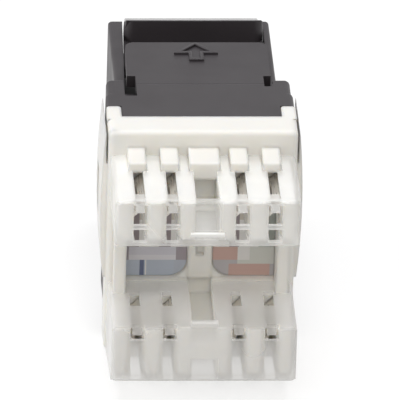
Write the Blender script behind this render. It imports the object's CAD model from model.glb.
# %% [markdown]
# # A keystone jack in black, white and clear plastic
#
# The jack snaps into a wall plate or a patch panel. A plug goes into the black nose, and eight
# wires are pressed into the two white rows at its back, each row under a clear dust cap. The
# solids come from the CAD model at their real size, so this script gives them finishes, adds two
# small shapes that the solids leave out, and sets up a small photo studio.

# %% Load the solids
from math import cos, pi, radians, sin

import bpy
import bmesh
from mathutils import Matrix, Vector


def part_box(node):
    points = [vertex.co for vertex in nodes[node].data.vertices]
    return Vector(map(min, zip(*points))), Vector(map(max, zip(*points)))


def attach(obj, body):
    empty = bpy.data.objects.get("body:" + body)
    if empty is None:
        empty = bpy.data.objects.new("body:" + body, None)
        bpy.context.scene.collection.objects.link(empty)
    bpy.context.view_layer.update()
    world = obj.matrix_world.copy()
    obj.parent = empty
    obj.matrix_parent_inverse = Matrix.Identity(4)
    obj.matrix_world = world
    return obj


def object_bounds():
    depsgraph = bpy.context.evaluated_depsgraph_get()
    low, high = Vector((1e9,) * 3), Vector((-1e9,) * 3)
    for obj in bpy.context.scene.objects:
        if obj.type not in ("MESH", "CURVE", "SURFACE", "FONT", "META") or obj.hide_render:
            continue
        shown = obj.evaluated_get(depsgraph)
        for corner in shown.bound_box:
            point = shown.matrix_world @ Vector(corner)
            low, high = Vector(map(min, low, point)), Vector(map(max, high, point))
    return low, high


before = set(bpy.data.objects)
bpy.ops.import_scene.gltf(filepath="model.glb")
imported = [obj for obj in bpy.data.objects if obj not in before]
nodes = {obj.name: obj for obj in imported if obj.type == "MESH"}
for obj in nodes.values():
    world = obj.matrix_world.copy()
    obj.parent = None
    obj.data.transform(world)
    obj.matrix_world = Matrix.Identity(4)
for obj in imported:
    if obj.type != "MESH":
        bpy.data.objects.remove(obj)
cad_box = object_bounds()

# %% [markdown]
# ## Three small tools
#
# A maker of small mouldings thinks in millimetres and picks colours from a chart, but Blender
# works in metres and in linear light. So one number turns millimetres to metres, one function
# turns a hex colour to linear, and one adds a shader node with its settings and its links. Two
# more start a material and put it on the solids.

# %% Units and colours
MM = 0.001


def linear(hex_colour):
    """An sRGB hex colour as the linear RGBA that a socket takes, by the sRGB standard's curve."""
    channels = [int(hex_colour[n : n + 2], 16) / 255 for n in (1, 3, 5)]
    return [c / 12.92 if c <= 0.04045 else ((c + 0.055) / 1.055) ** 2.4 for c in channels] + [1.0]


# %% Materials and their nodes
def add_node(tree, kind, inputs=None, **settings):
    """Adds one shader node. inputs holds a value, or another node's output, for each socket."""
    node = tree.nodes.new("ShaderNode" + kind)
    for name, value in settings.items():
        setattr(node, name, value)
    for name, value in (inputs or {}).items():
        if isinstance(value, bpy.types.NodeSocket):
            tree.links.new(value, node.inputs[name])
        else:
            node.inputs[name].default_value = value
    return node


# a Mix node's number and colour sockets share their names, so its colours go by their index
FIRST_COLOUR, SECOND_COLOUR, MIXED_COLOUR = 6, 7, 2


def new_material(name):
    """An empty material and its node tree."""
    material = bpy.data.materials.new(name)
    material.use_nodes = True
    material.node_tree.nodes.clear()
    return material, material.node_tree


def dress(names, material):
    """Puts one material in every slot of the named solids."""
    for name in names:
        for slot in nodes[name].material_slots:
            slot.material = material
    print(material.name, "on", ", ".join(names))


# %% [markdown]
# ## Moulded plastic
#
# Injection-moulded plastic copies the steel of its mould. Here the steel was spark-eroded, which
# leaves a fine even grain: it turns a sharp reflection into a soft sheen. The grain is drawn by
# a noise whose cells are a tenth of a millimetre, a little coarser than the real one so that it
# still shows. A second, much wider noise shifts the roughness, as where the melt cooled faster,
# and a third drifts between two near shades of the colour. Real edges are never knife sharp, so
# a Bevel node rounds the light at each edge by a few hundredths of a millimetre.

# %% The shared grain of moulded plastic
melt_patch_mm = 4
# a noise's values crowd round a half, so this stretch of them is spread over the whole range
plain_noise = {"From Min": 0.35, "From Max": 0.65}


def grain(tree, place, grain_mm, grain_height_mm, edge_mm, roughness):
    """Noise for a moulded surface: returns a normal output and a roughness output."""
    smooth, rough = roughness
    fine = add_node(tree, "TexNoise", {"Vector": place, "Scale": 1 / (grain_mm * MM), "Detail": 3.0})
    wide = add_node(tree, "TexNoise", {"Vector": place, "Scale": 1 / (melt_patch_mm * MM), "Detail": 2.0})
    edge = add_node(tree, "Bevel", {"Radius": edge_mm * MM}, samples=4)
    bump = add_node(
        tree,
        "Bump",
        {"Height": fine.outputs[0], "Distance": grain_height_mm * MM, "Normal": edge.outputs[0]},
    )
    patches = add_node(
        tree,
        "MapRange",
        {"Value": wide.outputs[0], **plain_noise, "To Min": smooth, "To Max": rough},
    )
    return bump.outputs[0], patches.outputs[0]


# %% Opaque moulded plastic
tint_patch_mm = 7
glow_depth_mm = 0.6
glow_reach = (1.0, 0.9, 0.75)   # red light goes furthest into a warm white


def moulded(name, colours, roughness, grain_mm, grain_height_mm, edge_mm, ior, glow=0.0):
    """An opaque moulded plastic between two near shades. glow is the share of light that goes in."""
    material, tree = new_material(name)
    place = add_node(tree, "TexCoord").outputs["Object"]
    normal, rough = grain(tree, place, grain_mm, grain_height_mm, edge_mm, roughness)
    drift = add_node(
        tree, "TexNoise", {"Vector": place, "Scale": 1 / (tint_patch_mm * MM), "Detail": 1.0}
    )
    colour, shade = [linear(hex_colour) for hex_colour in colours]
    tint = add_node(
        tree,
        "Mix",
        {"Factor": drift.outputs[0], FIRST_COLOUR: colour, SECOND_COLOUR: shade},
        data_type="RGBA",
    )
    plastic = add_node(
        tree,
        "BsdfPrincipled",
        {
            "Base Color": tint.outputs[MIXED_COLOUR],
            "Roughness": rough,
            "Normal": normal,
            "IOR": ior,
            "Subsurface Weight": glow,
            "Subsurface Radius": glow_reach,
            "Subsurface Scale": glow_depth_mm * MM,
        },
    )
    add_node(tree, "OutputMaterial", {"Surface": plastic.outputs[0]})
    return material


# %% [markdown]
# ## Black PBT
#
# The nose, its sprung latch and the contact sled are black PBT, the usual plastic of telecom
# connectors. Its black is a dark violet grey with a satin sheen: charcoal under a wide soft
# light, and truly black in the wells. The sled, deep inside, has a finer grain, and the catch's
# ramp is worn smooth by the panel's edge, so that it mirrors the room at a low angle. Three
# materials from one function keep the family likeness.

# %% Black PBT for the nose, the latch and the sled
black_pbt = moulded(
    "black PBT, moulded, spark-eroded grain",
    colours=("#353134", "#393538"),
    roughness=(0.40, 0.48),
    grain_mm=0.10,
    grain_height_mm=0.006,
    edge_mm=0.05,
    ior=1.38,
)
black_insert = moulded(
    "black PBT, moulded, fine grain",
    colours=("#19181a", "#1f1e20"),
    roughness=(0.34, 0.44),
    grain_mm=0.07,
    grain_height_mm=0.003,
    edge_mm=0.05,
    ior=1.56,
)
worn_pbt = moulded(
    "black PBT, worn smooth",
    colours=("#3a3639", "#403c3f"),
    roughness=(0.12, 0.18),
    grain_mm=0.10,
    grain_height_mm=0.001,
    edge_mm=0.05,
    ior=1.60,
)
dress(["housing", "latch_tongue"], black_pbt)
dress(["contact_sled"], black_insert)

# %% [markdown]
# ## White polycarbonate
#
# The block that holds the wires is white polycarbonate filled with titanium dioxide. It is a
# warm white, and light goes about half a millimetre into it before it comes out, which softens
# the shadows in the slots. Subsurface scattering does that. Its edges are well rounded, so the
# Bevel node's radius is larger here than on the black parts.

# %% White polycarbonate for the wire block
white_polycarbonate = moulded(
    "white polycarbonate, moulded, satin",
    colours=("#f4f3ef", "#f0eee8"),
    roughness=(0.36, 0.48),
    grain_mm=0.12,
    grain_height_mm=0.003,
    edge_mm=0.45,
    ior=1.58,
    glow=0.60,
)
dress(["idc_block"], white_polycarbonate)

# %% [markdown]
# ## Clear polycarbonate
#
# The dust caps are clear polycarbonate, only 0.4 mm thick. Their mould was polished on the
# outside, but thin walls and many slots leave flow haze: they are clear where the wall is seen
# square on, and milky along the edges. It could be one glass shader, but a wall this thin
# hardly bends light. So most of it is plain see-through, a share is glass of a low IOR for the
# glints, and milky plastic is mixed in by Layer Weight. A soft noise makes the haze uneven, and
# the finger lip is frosted for grip. Light Path lets the lamps through to the white block below,
# because light that a clear wall bends is far too slow to trace.

# %% The haze in a dust cap
cloud_mm = 6        # the melt's flow leaves the haze in clouds this wide
cloud_share = 0.07  # the most that a cloud adds to the haze or takes from it


def cap_haze(tree, place, haze, lip, frost):
    """The share of milky plastic. haze is that share where the wall is seen square on, and edge on.

    lip is the axis, the plane and the side of it that set off the finger lip, whose share is frost.
    """
    square_on, edge_on = haze
    axis, plane, side = lip
    slant = add_node(tree, "LayerWeight", {"Blend": 0.25})
    wall = add_node(
        tree, "MapRange", {"Value": slant.outputs["Facing"], "To Min": square_on, "To Max": edge_on}
    )
    flow = add_node(tree, "TexNoise", {"Vector": place, "Scale": 1 / (cloud_mm * MM), "Detail": 0.0})
    cloud = add_node(
        tree,
        "MapRange",
        {"Value": flow.outputs[0], **plain_noise, "To Min": -cloud_share, "To Max": cloud_share},
    )
    uneven = add_node(tree, "Math", {0: wall.outputs[0], 1: cloud.outputs[0]}, operation="ADD")
    across = add_node(tree, "SeparateXYZ", {0: place})
    on_lip = add_node(tree, "Math", {0: across.outputs[axis], 1: plane}, operation=side)
    frosted = add_node(tree, "Math", {0: on_lip.outputs[0], 1: frost}, operation="MULTIPLY")
    most = add_node(tree, "Math", {0: uneven.outputs[0], 1: frosted.outputs[0]}, operation="MAXIMUM")
    return most.outputs[0]


# %% Clear plastic with milky haze
def clear_polycarbonate(name, milk, straight, haze, lip, frost):
    """Clear plastic, milky in the colour milk where cap_haze says.

    straight is the share of light that goes through unbent, as it nearly does in a thin wall.
    """
    material, tree = new_material(name)
    place = add_node(tree, "TexCoord").outputs["Object"]
    normal, rough = grain(
        tree, place, grain_mm=0.5, grain_height_mm=0.006, edge_mm=0.15, roughness=(0.16, 0.26)
    )
    glass = add_node(
        tree,
        "BsdfPrincipled",
        {
            "Base Color": linear("#ffffff"),
            "Roughness": rough,
            "Normal": normal,
            "IOR": 1.25,
            "Transmission Weight": 1.0,
        },
    )
    unbent = add_node(tree, "BsdfTransparent", {"Color": linear("#ffffff")})
    wall = add_node(tree, "MixShader", {0: straight, 1: glass.outputs[0], 2: unbent.outputs[0]})
    milky = add_node(tree, "BsdfPrincipled", {"Base Color": linear(milk), "Roughness": 0.3, "IOR": 1.585})
    share = cap_haze(tree, place, haze, lip, frost)
    plastic = add_node(tree, "MixShader", {0: share, 1: wall.outputs[0], 2: milky.outputs[0]})
    path = add_node(tree, "LightPath")
    lamp_light = add_node(
        tree,
        "Math",
        {0: path.outputs["Is Shadow Ray"], 1: path.outputs["Is Diffuse Ray"]},
        operation="MAXIMUM",
    )
    cap = add_node(
        tree, "MixShader", {0: lamp_light.outputs[0], 1: plastic.outputs[0], 2: unbent.outputs[0]}
    )
    add_node(tree, "OutputMaterial", {"Surface": cap.outputs[0]})
    return material


# %% One finish for each dust cap
upper_lip_mm, lower_lip_mm = 0.28, 0.45   # how far each finger lip stands out past its cap
upper_cap_low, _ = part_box("upper_dust_cap")
_, lower_cap_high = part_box("lower_dust_cap")
upper_clear = clear_polycarbonate(
    "clear polycarbonate, moulded, slight haze",
    milk="#fbfbf9",
    straight=0.85,
    haze=(0.24, 0.58),
    lip=("Y", upper_cap_low.y + upper_lip_mm * MM, "LESS_THAN"),
    frost=0.92,
)
lower_clear = clear_polycarbonate(
    "clear polycarbonate, moulded, milky haze",
    milk="#ecebe9",
    straight=0.75,
    haze=(0.30, 0.90),
    lip=("Z", lower_cap_high.z - lower_lip_mm * MM, "GREATER_THAN"),
    frost=0.75,
)
dress(["upper_dust_cap"], upper_clear)
dress(["lower_dust_cap"], lower_clear)

# %% [markdown]
# ## Metals
#
# Each wire is gripped by a forked blade stamped from phosphor bronze and dipped in tin. The
# stamping leaves fine streaks along the blade. The dip leaves the tin half dull, so the blade
# is a warm light grey even in its dark slot, and its metallic weight is only a half. The
# eight spring wires in the socket are drawn, bent and plated with hard gold, a full metal.

# %% Plated metal with streaks
streak_width_share = 0.08   # a streak's width, as a share of its length
streak_height_mm = 0.002
plated_edge_mm = 0.04
# a noise with more detail reaches a little further from a half than a plain one
detailed_noise = {"From Min": 0.3, "From Max": 0.7}


def plated(name, colours, roughness, streak_mm, metallic=1.0):
    """A plated metal with streaks that run along the part's length."""
    material, tree = new_material(name)
    place = add_node(tree, "TexCoord").outputs["Object"]
    stretched = add_node(tree, "Mapping", {"Vector": place, "Scale": (1.0, streak_width_share, 1.0)})
    streak = add_node(
        tree,
        "TexNoise",
        {"Vector": stretched.outputs[0], "Scale": 1 / (streak_mm * MM), "Detail": 4.0},
    )
    colour, shade = [linear(hex_colour) for hex_colour in colours]
    tint = add_node(
        tree,
        "Mix",
        {"Factor": streak.outputs[0], FIRST_COLOUR: colour, SECOND_COLOUR: shade},
        data_type="RGBA",
    )
    smooth, rough = roughness
    polish = add_node(
        tree,
        "MapRange",
        {"Value": streak.outputs[0], **detailed_noise, "To Min": smooth, "To Max": rough},
    )
    edge = add_node(tree, "Bevel", {"Radius": plated_edge_mm * MM}, samples=4)
    bump = add_node(
        tree,
        "Bump",
        {"Height": streak.outputs[0], "Distance": streak_height_mm * MM, "Normal": edge.outputs[0]},
    )
    metal = add_node(
        tree,
        "BsdfPrincipled",
        {
            "Base Color": tint.outputs[MIXED_COLOUR],
            "Metallic": metallic,
            "Roughness": polish.outputs[0],
            "Normal": bump.outputs[0],
        },
    )
    add_node(tree, "OutputMaterial", {"Surface": metal.outputs[0]})
    return material


# %% Tin plate and gold plate
tin_plate = plated(
    "tin-plated phosphor bronze, stamped",
    colours=("#dcd7d0", "#ece8e2"),
    roughness=(0.24, 0.38),
    streak_mm=0.15,
    metallic=0.5,
)
gold_plate = plated(
    "hard gold plate on drawn wire",
    colours=("#d6a94c", "#e9c777"),
    roughness=(0.16, 0.28),
    streak_mm=0.08,
)
wire_numbers = range(1, 9)
dress([f"idc_contact_{n}" for n in wire_numbers], tin_plate)
dress([f"spring_wire_{n}" for n in wire_numbers], gold_plate)

# %% [markdown]
# ## The circuit board
#
# The board that joins the blades to the spring wires is glass-fibre laminate under green
# solder mask. The glass cloth has about 2 threads a millimetre, and it shows through the mask
# as a faint check. The mask itself is glossy, which the coat gives.

# %% Glass-fibre laminate with green solder mask
threads_per_mm = 2.0
cloth_height_mm = 0.004


def solder_mask():
    """Green solder mask over a check of glass threads, one wave along x times one along z."""
    material, tree = new_material("glass-fibre laminate, green solder mask")
    place = add_node(tree, "TexCoord").outputs["Object"]
    across = add_node(tree, "SeparateXYZ", {0: place})
    threads = []
    for axis in ("X", "Z"):
        turned = add_node(
            tree,
            "Math",
            {0: across.outputs[axis], 1: 2 * pi * threads_per_mm / MM},
            operation="MULTIPLY",
        )
        threads.append(add_node(tree, "Math", {0: turned.outputs[0]}, operation="SINE"))
    warp, weft = threads
    cloth = add_node(tree, "Math", {0: warp.outputs[0], 1: weft.outputs[0]}, operation="MULTIPLY")
    shade = add_node(tree, "MapRange", {"Value": cloth.outputs[0], "From Min": -1.0, "From Max": 1.0})
    tint = add_node(
        tree,
        "Mix",
        {"Factor": shade.outputs[0], FIRST_COLOUR: linear("#1d6b42"), SECOND_COLOUR: linear("#237a4c")},
        data_type="RGBA",
    )
    bump = add_node(tree, "Bump", {"Height": cloth.outputs[0], "Distance": cloth_height_mm * MM})
    board = add_node(
        tree,
        "BsdfPrincipled",
        {
            "Base Color": tint.outputs[MIXED_COLOUR],
            "Roughness": 0.35,
            "Normal": bump.outputs[0],
            "IOR": 1.5,
            "Coat Weight": 0.6,
            "Coat Roughness": 0.12,
        },
    )
    add_node(tree, "OutputMaterial", {"Surface": board.outputs[0]})
    return material


dress(["circuit_board"], solder_mask())

# %% [markdown]
# ## The wiring label
#
# Each half of the label is polyester film printed with blocks of colour that say which wire
# goes where: two schemes, one above the other, for each row. Blocks of plain colour are steps
# of a ramp along the label's width, one ramp for each band, and a second step picks the band
# by height. The print is matt ink, so the film's own gloss is broken up.

# %% Ink in steps of colour
def colour_steps(tree, value, stops):
    """A ramp of hard colour steps. stops are (start, colour), with starts from 0 to 1."""
    ramp = add_node(tree, "ValToRGB", {0: value})
    ramp.color_ramp.interpolation = "CONSTANT"
    elements = ramp.color_ramp.elements
    while len(elements) < len(stops):
        elements.new(0.5)
    for element, (start, colour) in zip(elements, stops):
        element.position = start
        element.color = linear(colour)
    return ramp.outputs[0]


# %% Bands of ink on polyester film
ink_mottle_mm = 0.25
ink_height_mm = 0.002
ink_smooth, ink_rough = 0.40, 0.55


def printed_film(name, node_name, bands):
    """Film whose stops run from the spine outwards. bands are (height over its foot in mm, stops)."""
    material, tree = new_material(name)
    low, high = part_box(node_name)
    spine_edge, outer_edge = sorted((low.x, high.x), key=abs)
    place = add_node(tree, "TexCoord").outputs["Object"]
    across = add_node(tree, "SeparateXYZ", {0: place})
    along = add_node(
        tree, "MapRange", {"Value": across.outputs["X"], "From Min": spine_edge, "From Max": outer_edge}
    )
    (_, foot_stops), *higher_bands = bands
    ink = colour_steps(tree, along.outputs[0], foot_stops)
    for height_mm, stops in higher_bands:
        above = add_node(
            tree,
            "Math",
            {0: across.outputs["Z"], 1: low.z + height_mm * MM},
            operation="GREATER_THAN",
        )
        band = colour_steps(tree, along.outputs[0], stops)
        pick = add_node(
            tree,
            "Mix",
            {"Factor": above.outputs[0], FIRST_COLOUR: ink, SECOND_COLOUR: band},
            data_type="RGBA",
        )
        ink = pick.outputs[MIXED_COLOUR]
    mottle = add_node(
        tree, "TexNoise", {"Vector": place, "Scale": 1 / (ink_mottle_mm * MM), "Detail": 3.0}
    )
    matt = add_node(
        tree,
        "MapRange",
        {"Value": mottle.outputs[0], **detailed_noise, "To Min": ink_smooth, "To Max": ink_rough},
    )
    bump = add_node(tree, "Bump", {"Height": mottle.outputs[0], "Distance": ink_height_mm * MM})
    film = add_node(
        tree,
        "BsdfPrincipled",
        {"Base Color": ink, "Roughness": matt.outputs[0], "Normal": bump.outputs[0], "IOR": 1.6},
    )
    add_node(tree, "OutputMaterial", {"Surface": film.outputs[0]})
    return material


# %% The print on each half
PAPER, PEARL, LILAC, SLATE = "#e6e4e2", "#dfdde3", "#d3d1da", "#b9bfcb"
BLUE, NAVY, PLUM, MAUVE = "#bac2d0", "#66708f", "#a59ca3", "#bcb8bb"
SALMON, TAUPE, SAND = "#cbaaa1", "#8f8487", "#c9c2b6"
SAGE, MOSS = "#d3d4ce", "#9da29b"
# each band: its height over the film's foot in mm, and its steps from the spine outwards
blue_half = [
    (0.0, [(0.0, SLATE), (0.20, BLUE), (0.65, PAPER), (0.67, BLUE), (0.69, NAVY), (0.76, BLUE)]),
    (1.52, [(0.0, PLUM), (0.17, PEARL), (0.94, PLUM)]),
    (2.02, [(0.0, PLUM), (0.17, LILAC), (0.94, PLUM)]),
    (2.82, [(0.0, PAPER), (0.26, TAUPE), (0.45, PAPER), (0.78, TAUPE)]),
    (5.52, [(0.0, SAND), (0.26, TAUPE), (0.45, SAND), (0.78, TAUPE)]),
]
salmon_half = [
    (0.0, [(0.0, MAUVE), (0.26, SALMON), (0.93, MAUVE)]),
    (1.12, [(0.0, MAUVE), (0.40, SAGE)]),
    (1.52, [(0.0, SALMON), (0.40, PAPER), (0.60, SAGE)]),
    (2.82, [(0.0, PAPER), (0.26, TAUPE), (0.42, PAPER), (0.74, MOSS)]),
    (5.52, [(0.0, SAND), (0.26, TAUPE), (0.42, SAND), (0.74, MOSS)]),
]
for node_name, film_name, bands in (
    ("wiring_label_left", "printed polyester film, blue side", blue_half),
    ("wiring_label_right", "printed polyester film, salmon side", salmon_half),
):
    dress([node_name], printed_film(film_name, node_name, bands))

# %% [markdown]
# ## Tools for modelling by hand
#
# Two small shapes are made here as by hand in Blender's window: a primitive is added, some of its
# corners or faces are picked, and an operator moves, cuts or raises what is picked. With no
# mouse to pick with, a test on each corner's or face's place does it. Every edge on a moulded
# part is a little round, and a Bevel modifier that is then applied gives that.

# %% Tools for modelling by hand
def deselect_everything():
    for thing in bpy.context.selected_objects:
        thing.select_set(False)


def place_in_mesh(piece):
    """Moves the object's place and size into its mesh, and leaves the object at the origin."""
    deselect_everything()
    piece.select_set(True)
    bpy.context.view_layer.objects.active = piece
    bpy.ops.object.transform_apply(location=True, rotation=True, scale=True)


def pick(piece, kind, wanted):
    """In edit mode, selects only the verts or the faces whose place, in mm, passes a test."""
    bpy.ops.mesh.select_all(action="DESELECT")
    shape = bmesh.from_edit_mesh(piece.data)
    for part in getattr(shape, kind):
        place = part.co if kind == "verts" else part.calc_center_median()
        if wanted(place / MM):
            part.select_set(True)
    shape.select_flush_mode()
    bmesh.update_edit_mesh(piece.data)


def pick_whole_mesh():
    bpy.ops.mesh.select_all(action="SELECT")


def round_edges(piece, radius_mm, over_degrees, steps=3, smooth_degrees=30):
    """Rounds each edge that turns by more than over_degrees, in a few steps shaded as one."""
    bevel = piece.modifiers.new("rounded edges", "BEVEL")
    bevel.width = radius_mm * MM
    bevel.segments = steps
    bevel.limit_method = "ANGLE"
    bevel.angle_limit = radians(over_degrees)
    bpy.ops.object.modifier_apply(modifier=bevel.name)
    bpy.ops.object.shade_smooth_by_angle(angle=radians(smooth_degrees))


def describe(piece):
    size = [round(length / MM, 2) for length in piece.dimensions]
    print(piece.name, size, "mm,", len(piece.data.polygons), "faces")


# %% [markdown]
# ## The raised arrow on the latch
#
# A moulded arrow on the latch's plate shows which way the jack goes into its panel. It is a
# ridge round an open middle, and it stands 0.22 mm proud, which is too slight for the solids.
# It could be a curve with a bevel, but a grid gives it sharper corners: a flat grid is added
# at the arrow's size, its front edge is drawn in to a point, the faces beside the shaft are
# deleted, and the rest becomes one face. That face is inset and its middle is deleted. The
# ridge left over is extruded up and bevelled, as a mould maker engraves with a round cutter.

# %% A flat grid of the arrow's size
_, latch_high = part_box("latch_tongue")
arrow_length_mm, arrow_width_mm = 3.4, 4.0
arrow_x_mm = 0.1
arrow_y_mm = latch_high.y / MM - 9.25   # its middle, back from the latch's free end
arrow_sink_mm = 0.04                    # how far it goes into the plate
columns, rows = 6, 2

deselect_everything()
bpy.ops.mesh.primitive_grid_add(
    x_subdivisions=columns,
    y_subdivisions=rows,
    size=1.0,
    location=(arrow_x_mm * MM, arrow_y_mm * MM, latch_high.z - arrow_sink_mm * MM),
)
arrow = bpy.context.object
arrow.name = "latch_arrow"
# the grid operator ignores a scale, so the object is scaled instead
arrow.scale = (arrow_width_mm * MM, arrow_length_mm * MM, 1.0)
place_in_mesh(arrow)
describe(arrow)

# %% The arrow's head and shaft
tip_share = 0.04        # the point's width, as a share of the arrow's
head_longer_mm = 0.35   # how far the head reaches behind the arrow's middle
slack_mm = 0.01         # for tests on a place
flat_degrees = 1

bpy.ops.object.mode_set(mode="EDIT")
# the head's front edge is drawn in to a point, and its rear edge goes back a little
front_mm = arrow_y_mm + arrow_length_mm / 2
pick(arrow, "verts", lambda at: at.y > front_mm - slack_mm)
bpy.ops.transform.resize(
    value=(tip_share, 1, 1), center_override=(arrow_x_mm * MM, front_mm * MM, latch_high.z)
)
pick(arrow, "verts", lambda at: abs(at.y - arrow_y_mm) < slack_mm)
bpy.ops.transform.translate(value=(0, -head_longer_mm * MM, 0))
# behind the head, only the two middle columns stay as the shaft
shaft_half_mm = arrow_width_mm / columns
head_rear_mm = arrow_y_mm - head_longer_mm
pick(arrow, "faces", lambda at: at.y < head_rear_mm and abs(at.x - arrow_x_mm) > shaft_half_mm)
bpy.ops.mesh.delete(type="FACE")
pick_whole_mesh()
bpy.ops.mesh.dissolve_faces()
pick_whole_mesh()
bpy.ops.mesh.dissolve_limited(angle_limit=radians(flat_degrees))
bpy.ops.object.mode_set(mode="OBJECT")
describe(arrow)

# %% The arrow's ridge
ridge_mm = 0.32
arrow_rise_mm = 0.22
same_place_mm = 0.001

bpy.ops.object.mode_set(mode="EDIT")
pick_whole_mesh()
bpy.ops.mesh.inset(thickness=ridge_mm * MM)
bpy.ops.mesh.delete(type="FACE")
pick_whole_mesh()
bpy.ops.mesh.extrude_region_move(
    TRANSFORM_OT_translate={"value": (0, 0, (arrow_rise_mm + arrow_sink_mm) * MM)}
)
pick_whole_mesh()
bpy.ops.mesh.remove_doubles(threshold=same_place_mm * MM)
bpy.ops.mesh.normals_make_consistent(inside=False)
bpy.ops.object.mode_set(mode="OBJECT")
round_edges(arrow, radius_mm=0.10, over_degrees=40)
describe(arrow)

# %% [markdown]
# ## The catch's lead-in ramp
#
# The catch at the latch's free end has a long shallow ramp on its front, worn smooth, on which
# the panel's edge rides as it pushes the latch down. The solid's own ramp is steeper, so this
# wedge lies on it. It could be a new solid, but a box does it: the box is sunk into the catch,
# the front edge of its top is moved down to make the slope, and its edges are rounded.

# %% A wedge on the catch
ramp_width_mm, ramp_length_mm, ramp_height_mm = 12.0, 2.16, 1.79
ramp_drop_mm = 0.84     # how much lower the top is at its front
ramp_tuck_mm = 0.5      # how far forward the rear face's foot goes, into the catch
# its right, front and top faces, each from the same end of the latch
ramp_right_mm = latch_high.x / MM - 0.40
ramp_front_mm = latch_high.y / MM - 0.02
ramp_top_mm = latch_high.z / MM - 0.26

deselect_everything()
bpy.ops.mesh.primitive_cube_add(
    size=1.0,
    location=(
        (ramp_right_mm - ramp_width_mm / 2) * MM,
        (ramp_front_mm - ramp_length_mm / 2) * MM,
        (ramp_top_mm - ramp_height_mm / 2) * MM,
    ),
    scale=(ramp_width_mm * MM, ramp_length_mm * MM, ramp_height_mm * MM),
)
ramp = bpy.context.object
ramp.name = "latch_ramp"
place_in_mesh(ramp)
bpy.ops.object.mode_set(mode="EDIT")
ramp_middle_y_mm = ramp_front_mm - ramp_length_mm / 2
ramp_middle_z_mm = ramp_top_mm - ramp_height_mm / 2
pick(ramp, "verts", lambda at: at.y > ramp_middle_y_mm and at.z > ramp_middle_z_mm)
bpy.ops.transform.translate(value=(0, 0, -ramp_drop_mm * MM))
pick(ramp, "verts", lambda at: at.y < ramp_middle_y_mm and at.z < ramp_middle_z_mm)
bpy.ops.transform.translate(value=(0, ramp_tuck_mm * MM, 0))
bpy.ops.object.mode_set(mode="OBJECT")
round_edges(ramp, radius_mm=0.12, over_degrees=15)
describe(ramp)

# %% [markdown]
# ## Studio: the floor and the room
#
# Both are plain white to the eye, and the floor keeps the jack's soft shadow. More lamps could
# make the floor white, but they would burn out the white block. So the floor adds some light of
# its own to what the eye sees, straight or by way of gloss or glass. To all other light it is
# a pale surface that throws light up at the jack, as a white table does. The room fills in
# from all sides, and is a little warm.

# %% What the eye sees
def seen_by_eye(tree):
    """1 for a ray from the camera, straight or by way of gloss or glass, and 0 for other light."""
    path = add_node(tree, "LightPath")
    seen = path.outputs["Is Camera Ray"]
    for way in ("Is Glossy Ray", "Is Transmission Ray"):
        seen = add_node(tree, "Math", {0: seen, 1: path.outputs[way]}, operation="MAXIMUM").outputs[0]
    return seen


# %% Floor
floor_size_mm = 4000
floor_gap_mm = 0.02
floor_glow = 0.70       # the light that it adds, where 1 is white

cad_low, cad_high = cad_box
deselect_everything()
bpy.ops.mesh.primitive_plane_add(size=floor_size_mm * MM, location=(0, 0, cad_low.z - floor_gap_mm * MM))
floor = bpy.context.object
floor.name = "studio_floor"
place_in_mesh(floor)

floor_material, tree = new_material("pale studio floor")
seen = seen_by_eye(tree)
tone = add_node(
    tree,
    "Mix",
    {"Factor": seen, FIRST_COLOUR: linear("#d4d4d4"), SECOND_COLOUR: linear("#a2a2a2")},
    data_type="RGBA",
)
lit = add_node(tree, "BsdfDiffuse", {"Color": tone.outputs[MIXED_COLOUR]})
share = add_node(tree, "Math", {0: seen, 1: floor_glow}, operation="MULTIPLY")
white = add_node(tree, "Emission", {"Color": linear("#ffffff"), "Strength": share.outputs[0]})
ground = add_node(tree, "AddShader", {0: lit.outputs[0], 1: white.outputs[0]})
add_node(tree, "OutputMaterial", {"Surface": ground.outputs[0]})
floor.data.materials.append(floor_material)
print(floor_material.name, "at", round(cad_low.z / MM, 2), "mm")

# %% World
room_fill = 0.36        # the strength of its light, where the white that the eye sees is 1

world = bpy.data.worlds.new("soft white room")
bpy.context.scene.world = world
world.use_nodes = True
tree = world.node_tree
tree.nodes.clear()
fill = add_node(tree, "Background", {"Color": linear("#fffbf6"), "Strength": room_fill})
backdrop = add_node(tree, "Background", {"Color": linear("#ffffff"), "Strength": 1.0})
sky = add_node(tree, "MixShader", {0: seen_by_eye(tree), 1: fill.outputs[0], 2: backdrop.outputs[0]})
add_node(tree, "OutputWorld", {"Surface": sky.outputs[0]})
print(world.name, "fills in at", room_fill)

# %% [markdown]
# ## Studio: lamps
#
# Small mouldings are usually lit by wide soft lamps, so that no edge throws a hard shadow. The
# one overhead is the main light. Two more, weaker at the jack, stand high over its cable side
# and to its left, and lift the upright faces. Each is an area lamp, as soft as it is wide.

# %% Lamps
def soft_lamp(name, watts, size_mm, place_mm, aim_mm, colour):
    """A square area lamp at a place, turned to look at another."""
    light = bpy.data.lights.new(name, "AREA")
    light.size = size_mm * MM
    light.energy = watts
    light.color = linear(colour)[:3]
    lamp = bpy.data.objects.new(name, light)
    bpy.context.scene.collection.objects.link(lamp)
    lamp.location = Vector(place_mm) * MM
    lamp.rotation_euler = (Vector(aim_mm) - Vector(place_mm)).to_track_quat("-Z", "Y").to_euler()
    print(name, watts, "W at", place_mm, "mm")


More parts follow.
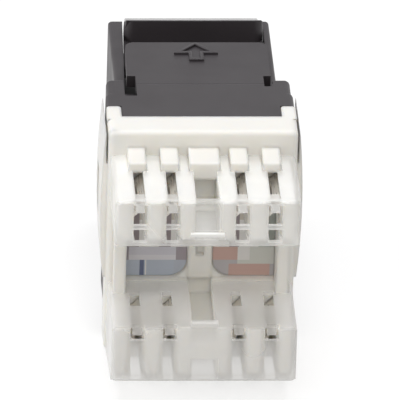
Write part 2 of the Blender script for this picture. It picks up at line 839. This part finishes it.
soft_lamp(
    "overhead softbox", watts=1.02, size_mm=220, place_mm=(0, 80, 450), aim_mm=(0, -18, 0), colour="#f8faff"
)
soft_lamp(
    "rear softbox", watts=0.85, size_mm=300, place_mm=(0, -455, 415), aim_mm=(0, -25, 0), colour="#fffdf8"
)
soft_lamp(
    "left softbox", watts=1.15, size_mm=300, place_mm=(-520, -100, 180), aim_mm=(0, -20, 0), colour="#ffffff"
)

# %% [markdown]
# ## Camera
#
# The camera looks down on the cable side from 27 degrees above, almost square on, through a
# long lens: it is 1.2 m from a part 35 mm long, so lines that are parallel stay nearly so. It
# is turned a little about its own axis.

# %% Camera
sensor_mm = 36.0
nearest_seen, furthest_seen = 0.01, 20.0   # in metres


def look_from(azimuth, elevation, roll, aim, distance_mm, field_mm):
    """A camera on a sphere round aim. field_mm is the width it sees there. Angles in degrees."""
    a, e = radians(azimuth), radians(elevation)
    back = Vector((sin(a) * cos(e), -cos(a) * cos(e), sin(e)))
    optics = bpy.data.cameras.new("camera")
    camera = bpy.data.objects.new("camera", optics)
    bpy.context.scene.collection.objects.link(camera)
    turn = Matrix.Rotation(radians(roll), 4, "Z").to_quaternion()
    camera.rotation_mode = "QUATERNION"
    camera.rotation_quaternion = back.to_track_quat("Z", "Y") @ turn
    camera.location = aim + back * distance_mm * MM
    optics.sensor_width = sensor_mm
    optics.lens = sensor_mm * distance_mm / field_mm
    optics.clip_start = nearest_seen
    optics.clip_end = furthest_seen
    print("a camera with a lens of", round(optics.lens), "mm")
    return camera


aim = (cad_low + cad_high) / 2 + Vector((0.372, -0.024, -0.012)) * MM
bpy.context.scene.camera = look_from(
    azimuth=-3.743, elevation=27.003, roll=1.696, aim=aim, distance_mm=1200, field_mm=35.71
)

# %% [markdown]
# ## Plain colours
#
# A film-like view would bend the colours. The Standard view shows each about as it is written.

# %% Plain view settings
bpy.context.scene.view_settings.view_transform = "Standard"
print("view:", bpy.context.scene.view_settings.view_transform)

# %% [markdown]
# ## Hand the pieces over
#
# Both new pieces ride on the latch, so they move as it is pressed, and name the slot that their
# finish comes from. The sizes of the CAD box and of the finished object are kept, because
# dressing must not change the size.

# %% Ride, name the slots and keep the sizes
for piece, finish in ((arrow, black_pbt), (ramp, worn_pbt)):
    piece.data.materials.append(finish)
    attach(piece, "latch")
    print(piece.name, "rides on the latch in", finish.name)
